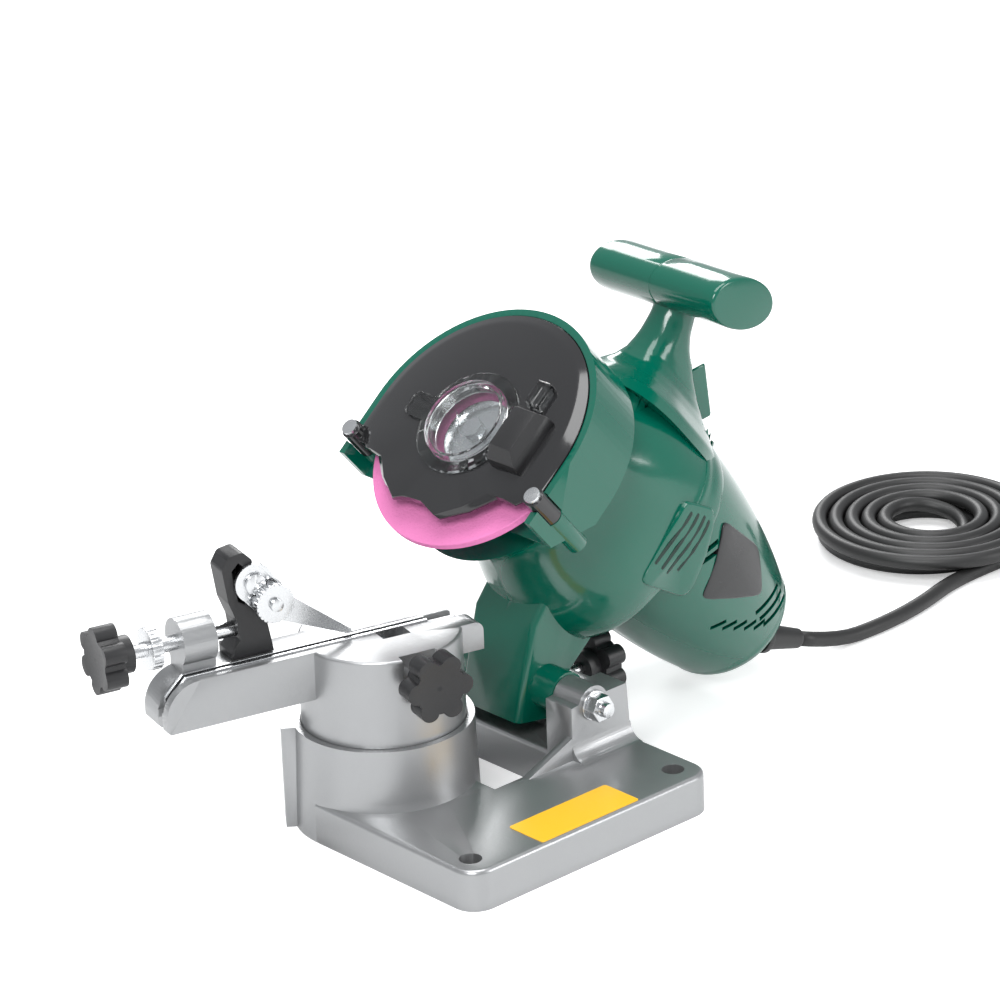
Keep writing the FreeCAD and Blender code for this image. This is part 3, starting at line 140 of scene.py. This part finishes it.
def surface_group():
    """Shared effect: fine bumps, slow colour drift and small specks, from noise at two scales."""
    group = bpy.data.node_groups.new("surface_detail", "ShaderNodeTree")
    face = group.interface
    for socket, kind, value in (("Place", "NodeSocketVector", None), ("Color", "NodeSocketColor", None),
                                ("Drift", "NodeSocketFloat", 0.05), ("Roughness", "NodeSocketFloat", 0.4),
                                ("Rough Drift", "NodeSocketFloat", 0.05),
                                ("Grain Size", "NodeSocketFloat", 900.0),
                                ("Grain Height", "NodeSocketFloat", 0.2)):
        made = face.new_socket(socket, in_out="INPUT", socket_type=kind)
        if value is not None:
            made.default_value = value
    for socket, kind in (("Color", "NodeSocketColor"), ("Roughness", "NodeSocketFloat"),
                         ("Height", "NodeSocketFloat")):
        face.new_socket(socket, in_out="OUTPUT", socket_type=kind)
    ins = group.nodes.new("NodeGroupInput")
    outs = group.nodes.new("NodeGroupOutput")
    join = group.links.new

    def noise(scale, detail):
        made = group.nodes.new("ShaderNodeTexNoise")
        made.inputs["Scale"].default_value = scale
        made.inputs["Detail"].default_value = detail
        join(ins.outputs["Place"], made.inputs["Vector"])
        return made

    def calc(kind, a, b):
        made = group.nodes.new("ShaderNodeMath")
        made.operation = kind
        for k, value in enumerate((a, b)):
            if isinstance(value, (int, float)):
                made.inputs[k].default_value = value
            else:
                join(value, made.inputs[k])
        return made.outputs[0]

    slow = noise(28.0, 3.0)
    grain = noise(900.0, 2.0)
    join(ins.outputs["Grain Size"], grain.inputs["Scale"])
    centred = calc("SUBTRACT", slow.outputs["Fac"], 0.5)
    shade = calc("ADD", 1.0, calc("MULTIPLY", calc("MULTIPLY", centred, 2.0), ins.outputs["Drift"]))
    scale_color = group.nodes.new("ShaderNodeVectorMath")
    scale_color.operation = "SCALE"
    join(ins.outputs["Color"], scale_color.inputs[0])
    join(shade, scale_color.inputs["Scale"])
    join(scale_color.outputs[0], outs.inputs["Color"])
    fine = calc("SUBTRACT", grain.outputs["Fac"], 0.5)
    drift = calc("MULTIPLY", calc("ADD", centred, fine), ins.outputs["Rough Drift"])
    join(calc("ADD", ins.outputs["Roughness"], calc("MULTIPLY", drift, 2.0)), outs.inputs["Roughness"])
    join(calc("MULTIPLY", grain.outputs["Fac"], ins.outputs["Grain Height"]), outs.inputs["Height"])
    return group


surface_detail = surface_group()


def finish_look(name, color, rough, metal=0.0, drift=0.05, rough_drift=0.05, grain=900.0, height=0.2,
                coat=0.0, coat_rough=0.05, depth=0.00008):
    """A finish: base colour with drift, roughness with drift, and a fine bump."""
    look, tree, shader, place = look_parts(name, color, rough, metal)
    detail = tree.nodes.new("ShaderNodeGroup")
    detail.node_tree = surface_detail
    detail.inputs["Color"].default_value = (*color, 1)
    detail.inputs["Drift"].default_value = drift
    detail.inputs["Roughness"].default_value = rough
    detail.inputs["Rough Drift"].default_value = rough_drift
    detail.inputs["Grain Size"].default_value = grain
    detail.inputs["Grain Height"].default_value = height
    tree.links.new(place.outputs["Object"], detail.inputs["Place"])
    tree.links.new(detail.outputs["Color"], shader.inputs["Base Color"])
    tree.links.new(detail.outputs["Roughness"], shader.inputs["Roughness"])
    bump = tree.nodes.new("ShaderNodeBump")
    bump.inputs["Strength"].default_value = 1.0
    bump.inputs["Distance"].default_value = depth
    tree.links.new(detail.outputs["Height"], bump.inputs["Height"])
    tree.links.new(bump.outputs["Normal"], shader.inputs["Normal"])
    shader.inputs["Coat Weight"].default_value = coat
    shader.inputs["Coat Roughness"].default_value = coat_rough
    return look


def dressed(node, look, round_edge=0.0004, sharp=32, segments=2):
    """A copy of the CAD piece that stands for it: loose triangles merged, sharp edges rounded."""
    mesh = nodes[node].data.copy()
    mesh.name = node + "_skin"
    piece = bpy.data.objects.new(node + "_skin", mesh)
    bpy.context.scene.collection.objects.link(piece)
    mesh.materials.clear()
    mesh.materials.append(look)
    weld = piece.modifiers.new("weld", "WELD")
    weld.merge_threshold = 0.00002
    shown = bpy.data.meshes.new_from_object(piece.evaluated_get(bpy.context.evaluated_depsgraph_get()))
    piece.modifiers.clear()
    piece.data = shown
    shown.name = node + "_skin"
    shown.shade_smooth()
    shown.set_sharp_from_angle(angle=math.radians(sharp))
    if round_edge:
        bevel = piece.modifiers.new("rounding", "BEVEL")
        bevel.width = round_edge
        bevel.segments = segments
        bevel.limit_method = "ANGLE"
        bevel.angle_limit = math.radians(sharp)
        bevel.use_clamp_overlap = True
        bevel.harden_normals = False
    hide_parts(node)
    return piece


def body_holding(node):
    return next(body for body, held in frame["record"]["behaviour"]["bodies"].items() if node in held)


def place_skin(node, look, **rounding):
    piece = dressed(node, look, **rounding)
    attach(piece, body_holding(node))
    return piece


silver_paint = finish_look("silver_paint", (0.36, 0.365, 0.37), 0.34, metal=0.8, drift=0.05, rough_drift=0.06,
                           grain=700.0, height=0.5, depth=0.0001)
place_skin("base_casting", silver_paint, round_edge=0.0008)
place_skin("turret", silver_paint, round_edge=0.0006)

# Bench, pivot and vise hardware: zinc-plated steel bolts, nuts, strips and the
# stop's bracket and finger, turned or stamped, with fine scratches.
zinc_plate = finish_look("zinc_plate", (0.66, 0.67, 0.68), 0.24, metal=1.0, drift=0.06, rough_drift=0.1,
                         grain=1500.0, height=0.3, depth=0.00003)
for node in ("pivot_bolt", "pivot_nut", "pivot_washers", "turret_lock_bolt", "turret_lock_washer",
             "far_guide_strip", "near_guide_strip", "stop_screw", "stop_lock_nut", "stop_bracket", "stop_finger", "finger_stud",
             "finger_nut", "stop_pivot_pin", "cover_screws", "wheel_bolt", "outer_flange", "inner_flange",
             "housing_screws", "clamp_screw", "depth_screw"):
    place_skin(node, zinc_plate, round_edge=0.0002)

# Hand knobs and the stop's lever: black moulded nylon with a soft sheen.
black_nylon = finish_look("black_nylon", (0.013, 0.013, 0.014), 0.42, drift=0.1, rough_drift=0.06,
                          grain=1200.0, height=0.5, depth=0.00006)
for node in ("clamp_knob", "stop_knob", "depth_knob"):
    place_skin(node, black_nylon, round_edge=0.0009, segments=3)
place_skin("stop_carriage", black_nylon, round_edge=0.0006)
place_skin("cover_latch", black_nylon, round_edge=0.0005)
place_skin("switch_body", black_nylon)

# Wheel cover: black moulded plastic with a mirror gloss.
gloss_black = finish_look("gloss_black", (0.016, 0.016, 0.017), 0.1, drift=0.05, rough_drift=0.03,
                          grain=300.0, height=0.15, coat=0.3, depth=0.00003)
place_skin("wheel_cover", gloss_black, round_edge=0.0006)

# Head housing: two shells of glossy green moulded plastic, and the trigger.
green_gloss = finish_look("green_gloss", (0.0, 0.098, 0.062), 0.16, drift=0.05, rough_drift=0.04, grain=500.0,
                          height=0.2, coat=0.25, depth=0.00004)
place_skin("housing_near", green_gloss, round_edge=0.0006, sharp=28)
place_skin("housing_far", green_gloss, round_edge=0.0006, sharp=28)
wheel_centre = np.array([0.0314, 0.080, 0.1426])
head_tilt = math.radians(49.9)
spindle_axis = np.array([math.cos(head_tilt), 0, -math.sin(head_tilt)])
head_up = np.array([math.sin(head_tilt), 0, math.cos(head_tilt)])


def from_head(along, across, up):
    """Millimetres in the head's own frame, from the wheel's centre, to metres in the part's frame."""
    across = np.asarray(across, float)[..., None]
    return wheel_centre + (np.asarray(along, float)[..., None] * spindle_axis + across * [0, 1, 0] +
                           np.asarray(up, float)[..., None] * head_up) / 1000


def drop_bar_and_post(piece):
    """Take the cross bar and its post off a shell's skin: what stands above the gear case."""
    mesh = piece.data
    places = np.zeros(len(mesh.polygons) * 3)
    mesh.polygons.foreach_get("center", places)
    away = (places.reshape(-1, 3) - wheel_centre) * 1000
    along, up, across = away @ spindle_axis, away @ head_up, away[:, 1]
    case_up = np.interp(along, (20, 43, 57, 95), (8, 22, 25, 25))
    case_radius = np.interp(along, (20, 43, 57, 70, 84, 95), (44, 38, 40.5, 42, 43, 43))
    drop = (along > 22.3) & (up > 45) & (np.hypot(across, up - case_up) > case_radius + 1.3)
    edit = bmesh.new()
    edit.from_mesh(mesh)
    edit.faces.ensure_lookup_table()
    bmesh.ops.delete(edit, geom=[edit.faces[i] for i in np.flatnonzero(drop)], context="FACES")
    edit.to_mesh(mesh)
    edit.free()


def loft(name, rings, look, body):
    """Closed rings of equal count joined into one smooth skin with end caps, faces outwards."""
    rings = np.asarray(rings)
    count, sides = rings.shape[:2]
    i, j = np.meshgrid(np.arange(count - 1), np.arange(sides), indexing="ij")
    k = (j + 1) % sides
    quads = np.stack([i * sides + j, i * sides + k, (i + 1) * sides + k, (i + 1) * sides + j], -1)
    quads = quads.reshape(-1, 4)
    mesh = bpy.data.meshes.new(name)
    caps = [list(range(sides))[::-1], list(range((count - 1) * sides, count * sides))]
    mesh.from_pydata(rings.reshape(-1, 3).tolist(), [], quads.tolist() + caps)
    edit = bmesh.new()
    edit.from_mesh(mesh)
    bmesh.ops.recalc_face_normals(edit, faces=edit.faces)
    edit.to_mesh(mesh)
    edit.free()
    mesh.shade_smooth()
    mesh.set_sharp_from_angle(angle=math.radians(40))
    mesh.materials.append(look)
    piece = bpy.data.objects.new(name, mesh)
    bpy.context.scene.collection.objects.link(piece)
    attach(piece, body)
    return piece


for shell in ("housing_near_skin", "housing_far_skin"):
    drop_bar_and_post(bpy.data.objects[shell])
for vertex in bpy.data.objects["housing_screws_skin"].data.vertices:
    away = (np.array(vertex.co) - wheel_centre) * 1000
    if math.hypot(away @ spindle_axis - 52, away @ head_up - 82) < 6:
        vertex.co.y = wheel_centre[1] + min(max(away[1], -8.0), 8.6) / 1000

# Cross bar and post: an oval bar with flat ends, full in the middle, on a
# waisted post that flares into the gear case.
around = np.linspace(0, 2 * np.pi, 72, endpoint=False)
bar_rings = []
bar_along, bar_up, bar_turn = 43.8, 107.3, math.radians(30)
bar_wide, bar_thick = 18.5, 11.0
for across, grow in ((-36, 0.90), (-35.8, 0.945), (-35.2, 0.975), (-34, 0.99), (-28, 0.985), (-20, 0.985),
                     (-10, 0.99), (-0.5, 1.0), (-0.25, 0.985), (0.25, 0.985), (0.5, 1.0), (10, 0.99),
                     (20, 0.985), (28, 0.985), (34, 0.99), (35.2, 0.975), (35.8, 0.945), (36, 0.90)):
    wide, thick = bar_wide * grow * np.cos(around), bar_thick * grow * np.sin(around)
    bar_rings.append(from_head(bar_along + wide * math.cos(bar_turn) - thick * math.sin(bar_turn),
                               np.full(len(around), float(across)),
                               bar_up + wide * math.sin(bar_turn) + thick * math.cos(bar_turn)))
loft("cross_bar", bar_rings, green_gloss, "head_unit")
# Each station: height, middle along the spindle, half length and half width.
stations = np.array([(106.0, 45.0, 10.5, 9.5), (100.5, 47.5, 9.8, 9.4), (93.9, 51.0, 10.2, 9.2),
                     (88.0, 54.2, 11.8, 9.6), (83.5, 57.8, 14.4, 10.0), (80.0, 60.2, 16.4, 10.4), (75.0, 64.0, 20.6, 12.0),
                     (70.0, 66.8, 24.8, 15.5), (65.0, 68.0, 29.0, 21.0), (58.0, 66.0, 34.0, 30.0),
                     (52.0, 64.0, 37.0, 34.0)])
post_rings = []
for height in np.linspace(stations[0, 0], stations[-1, 0], 48):
    middle, long_radius, cross_radius = (np.interp(height, stations[::-1, 0], stations[::-1, k])
                                         for k in (1, 2, 3))
    power = np.interp(height, (80, 92), (0.62, 1.0))
    long_share = np.sign(np.cos(around)) * np.abs(np.cos(around)) ** power
    cross_share = np.sign(np.sin(around)) * np.abs(np.sin(around)) ** power
    post_rings.append(from_head(middle + long_radius * long_share, cross_radius * cross_share,
                                np.full(len(around), height)))
loft("bar_post", post_rings, green_gloss, "head_unit")

place_skin("trigger", green_gloss, round_edge=0.0006)

# Side panels: a raised panel with four slots, drawn as dark sheets of painted shade, and a bare black plate
# on each side of the barrel, which narrows towards its tail.
barrel_places = np.linspace(60, 172, 40)
barrel_fit = np.polyfit((79, 140, 172), (43, 37.5, 30), 2)
barrel_radii = np.minimum(np.polyval(barrel_fit, barrel_places), 43)


def shell_reach(along, up):
    """How far the shell stands out from the middle plane: gear case and barrel, eased together."""
    radius = np.interp(along, barrel_places, barrel_radii)
    barrel = np.sqrt(np.maximum(radius ** 2 - (up - 25) ** 2, 0))
    low_radius = np.interp(along, (70, 84, 93), (40, 40, 37))
    high_radius = np.interp(along, (70, 84), (42, 43))
    case = np.where(up > 25, np.sqrt(np.maximum(high_radius ** 2 - (up - 25) ** 2, 0)),
                    np.where(up > 0, low_radius + (high_radius - low_radius) * up / 25,
                             np.sqrt(np.maximum(low_radius ** 2 - up ** 2, 0))))
    ease = np.clip((112 - along) / 19, 0, 1)
    return barrel + np.maximum(case - barrel, 0) * ease


def laid_panel(name, side, corners, rise, look, rows=16):
    """A plate with rounded corners laid on the barrel, its edge turned down into it."""
    corners = np.array(corners, float)
    turn = np.linspace(0, 2 * np.pi, 4 * rows, endpoint=False)
    circle = np.stack([np.cos(turn), np.sin(turn)], 1)
    square = np.sign(circle) * np.abs(circle) ** 0.22
    rings = []
    for share, lift in ((1.0, -7.0), (1.0, rise * 0.6), (0.985, rise * 0.9), (0.95, rise), (0.8, rise),
                        (0.6, rise), (0.4, rise), (0.2, rise), (0.03, rise)):
        u, v = (square * share).T * 0.5 + 0.5
        spot = (corners[0] * ((1 - u) * (1 - v))[:, None] + corners[1] * (u * (1 - v))[:, None] +
                corners[2] * (u * v)[:, None] + corners[3] * ((1 - u) * v)[:, None])
        along, up = spot.T
        rings.append(from_head(along, side * (shell_reach(along, up) + lift), up))
    return loft(name, rings, look, "head_unit")


plate_film = finish_look("plate_film", (0.012, 0.012, 0.013), 0.3, grain=600.0, height=0.1, depth=0.00002)
# Slot sheets: dark green painted shade, standing in for the shaded inside of each open vent slot.
painted_slot_shade = finish_look("painted_slot_shade", (0.001, 0.02, 0.013), 0.6, grain=600.0, height=0.1, depth=0.00002)
for shell, side in (("housing_near", -1), ("housing_far", 1)):
    laid_panel(shell + "_vent_panel", side, [(70.8, 30.0), (88.7, 37.5), (108.5, 4.0), (77.5, -7.0)], 1.3,
               green_gloss)
    laid_panel(shell + "_side_plate", side, [(97.2, 37.2), (131.0, 43.6), (148.0, 30.2), (115.6, 8.0)], 0.5,
               plate_film)
    for top, foot in (((76.6, 28.8), (78.0, 2.5)), ((80.6, 30.6), (82.8, 3.0)), ((84.6, 32.0), (87.6, 3.6)),
                      ((88.2, 32.0), (92.4, 4.4))):
        slot_corners = [(top[0] - 0.9, top[1]), (top[0] + 0.9, top[1]), (foot[0] + 0.9, foot[1]),
                        (foot[0] - 0.9, foot[1])]
        laid_panel(shell + "_slot", side, slot_corners, 1.4, painted_slot_shade, rows=8)

# Bare yellow plate between the bench bolt holes, without print.
plate_yellow = finish_look("plate_yellow", (0.83, 0.47, 0.02), 0.4, grain=700.0, height=0.1, depth=0.00002)
corner_turn = np.linspace(0, 2 * np.pi, 48, endpoint=False)
plate_x = 0.0246 * np.sign(np.cos(corner_turn)) + 0.0012 * np.cos(corner_turn)
plate_y = 0.0085 * np.sign(np.sin(corner_turn)) + 0.0012 * np.sin(corner_turn)
loft("yellow_plate", [np.stack([plate_x - 0.0001, plate_y - 0.0005, np.full(48, height)], 1)
                      for height in (0.0168, 0.01725)], plate_yellow, "base_unit")

# Window over the wheel's bolt: clear moulded plastic.
clear_plastic = finish_look("clear_plastic", (0.93, 0.95, 0.95), 0.06, drift=0.02, rough_drift=0.02,
                            grain=200.0, height=0.2, depth=0.00005)
clear_plastic.node_tree.nodes["Principled BSDF"].inputs["Transmission Weight"].default_value = 1.0
clear_plastic.node_tree.nodes["Principled BSDF"].inputs["IOR"].default_value = 1.46
place_skin("cover_window", clear_plastic, round_edge=0.0004)
place_skin("window_clip", clear_plastic, round_edge=0.0002)

# Grinding wheel: pink fused alumina grit in a ceramic bond.
pink_grit = finish_look("pink_grit", (0.72, 0.2, 0.45), 0.85, drift=0.12, rough_drift=0.05, grain=900.0,
                        height=1.0, depth=0.0004)
place_skin("grinding_wheel", pink_grit, round_edge=0.0003)

# Drive inside the head: ground steel shafts, gears, bearings and stacks.
ground_steel = finish_look("ground_steel", (0.45, 0.45, 0.46), 0.3, metal=1.0, grain=1300.0, height=0.3,
                           depth=0.00003)
for node in ("spindle", "spindle_gear", "motor_pinion", "motor_shaft", "front_spindle_bearing",
             "rear_spindle_bearing", "front_motor_bearing", "rear_motor_bearing", "rotor_core", "stator"):
    place_skin(node, ground_steel, round_edge=0)
turned_copper = finish_look("turned_copper", (0.6, 0.28, 0.15), 0.3, metal=1.0)
place_skin("commutator", turned_copper, round_edge=0)
pressed_carbon = finish_look("pressed_carbon", (0.03, 0.03, 0.03), 0.6)
place_skin("carbon_brushes", pressed_carbon, round_edge=0)
fan_nylon = finish_look("fan_nylon", (0.05, 0.05, 0.055), 0.5)
place_skin("cooling_fan", fan_nylon, round_edge=0)

# Power cord: black rubber sheath, a tapered strain relief at the tail, the
# free stretch, the put-away coil in two layers, and a two-pin plug.
cord_rubber = finish_look("cord_rubber", (0.012, 0.012, 0.012), 0.45, grain=1500.0, height=0.4, depth=0.00005)
pin_plating = finish_look("pin_plating", (0.7, 0.69, 0.66), 0.2, metal=1.0, grain=1500.0, height=0.2,
                          depth=0.00002)
relief = place_skin("strain_relief", cord_rubber, round_edge=0.0003)
plug = place_skin("plug", cord_rubber, round_edge=0.0003)
pins = place_skin("plug_pins", pin_plating, round_edge=0.0003)
cord_thickness = 0.0066
free_route = [(0.18593, 0.060, 0.01261), (0.2095, 0.0597, 0.0034), (0.2355, 0.0575, 0.0034),
              (0.2635, 0.060, 0.0034), (0.2935, 0.068, 0.0034)]
tail_route = [(0.3495, 0.0608, 0.0106), (0.3735, 0.0568, 0.0086), (0.4015, 0.0568, 0.0072),
              (0.4255, 0.0648, 0.0072)]


def coil_line(near, radius, pitch, turns, low, points):
    """Spiral in half turns: in on the table, up a layer in one half turn, out again on top."""
    line = []
    y, side = near, 1
    halves = [radius - k * pitch / 2 for k in range(2 * turns)]
    halves += [halves[-1] - pitch / 2]
    halves += [halves[-1] + (k + 1) * pitch / 2 for k in range(2 * turns + 1)]
    for index, r in enumerate(halves):
        share = (np.arange(points) + 0.5) / points
        turn = math.pi * share
        lift = np.clip((index - 2 * turns) + share, 0, 1)
        grow = r / math.cos(math.pi / points / 2) ** 2
        x = 0.3255 + side * grow * np.sin(turn)
        across = y + side * (r - grow * np.cos(turn))
        height = low + pitch * lift * lift * (3 - 2 * lift)
        line += list(zip(x, across, height))
        y += side * 2 * r
        side = -side
    return line


cord_points = free_route + coil_line(0.068, 0.046, 0.0072, 4, 0.0034, 8) + tail_route
line_data = bpy.data.curves.new("cord_line", "CURVE")
line_data.dimensions = "3D"
spline = line_data.splines.new("NURBS")
spline.points.add(len(cord_points) - 1)
spline.points.foreach_set("co", np.array([(*p, 1.0) for p in cord_points]).ravel())
spline.order_u = 3
spline.use_endpoint_u = True
spline.resolution_u = 5
cord_line = bpy.data.objects.new("cord_line", line_data)
bpy.context.scene.collection.objects.link(cord_line)
line_mesh = bpy.data.meshes.new_from_object(cord_line)
path = np.zeros(len(line_mesh.vertices) * 3)
line_mesh.vertices.foreach_get("co", path)
path = path.reshape(-1, 3)
bpy.data.objects.remove(cord_line)


def tube_mesh(name, path, radius, sides):
    """Circle carried along the path, its frame kept level by the world's up."""
    ahead = np.gradient(path, axis=0)
    ahead /= np.linalg.norm(ahead, axis=1)[:, None]
    across = np.cross(ahead, (0, 0, 1))
    across /= np.linalg.norm(across, axis=1)[:, None]
    over = np.cross(across, ahead)
    turn = np.linspace(0, 2 * np.pi, sides, endpoint=False)
    rings = path[:, None] + radius * (np.cos(turn)[None, :, None] * across[:, None] +
                                      np.sin(turn)[None, :, None] * over[:, None])
    count = len(path)
    i, j = np.meshgrid(np.arange(count - 1), np.arange(sides), indexing="ij")
    k = (j + 1) % sides
    quads = np.stack([i * sides + j, (i + 1) * sides + j, (i + 1) * sides + k, i * sides + k], -1)
    quads = quads.reshape(-1, 4)
    mesh = bpy.data.meshes.new(name)
    faces = quads.tolist() + [list(range(sides)), list(range((count - 1) * sides, count * sides))[::-1]]
    mesh.from_pydata(rings.reshape(-1, 3).tolist(), [], faces)
    mesh.shade_smooth()
    return mesh


cord_mesh = tube_mesh("power_cord", path, cord_thickness / 2, 14)
cord_mesh.materials.append(cord_rubber)
cord = bpy.data.objects.new("power_cord", cord_mesh)
bpy.context.scene.collection.objects.link(cord)
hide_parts("cord_free", "cord_coil", "cord_tail")
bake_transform(cord)
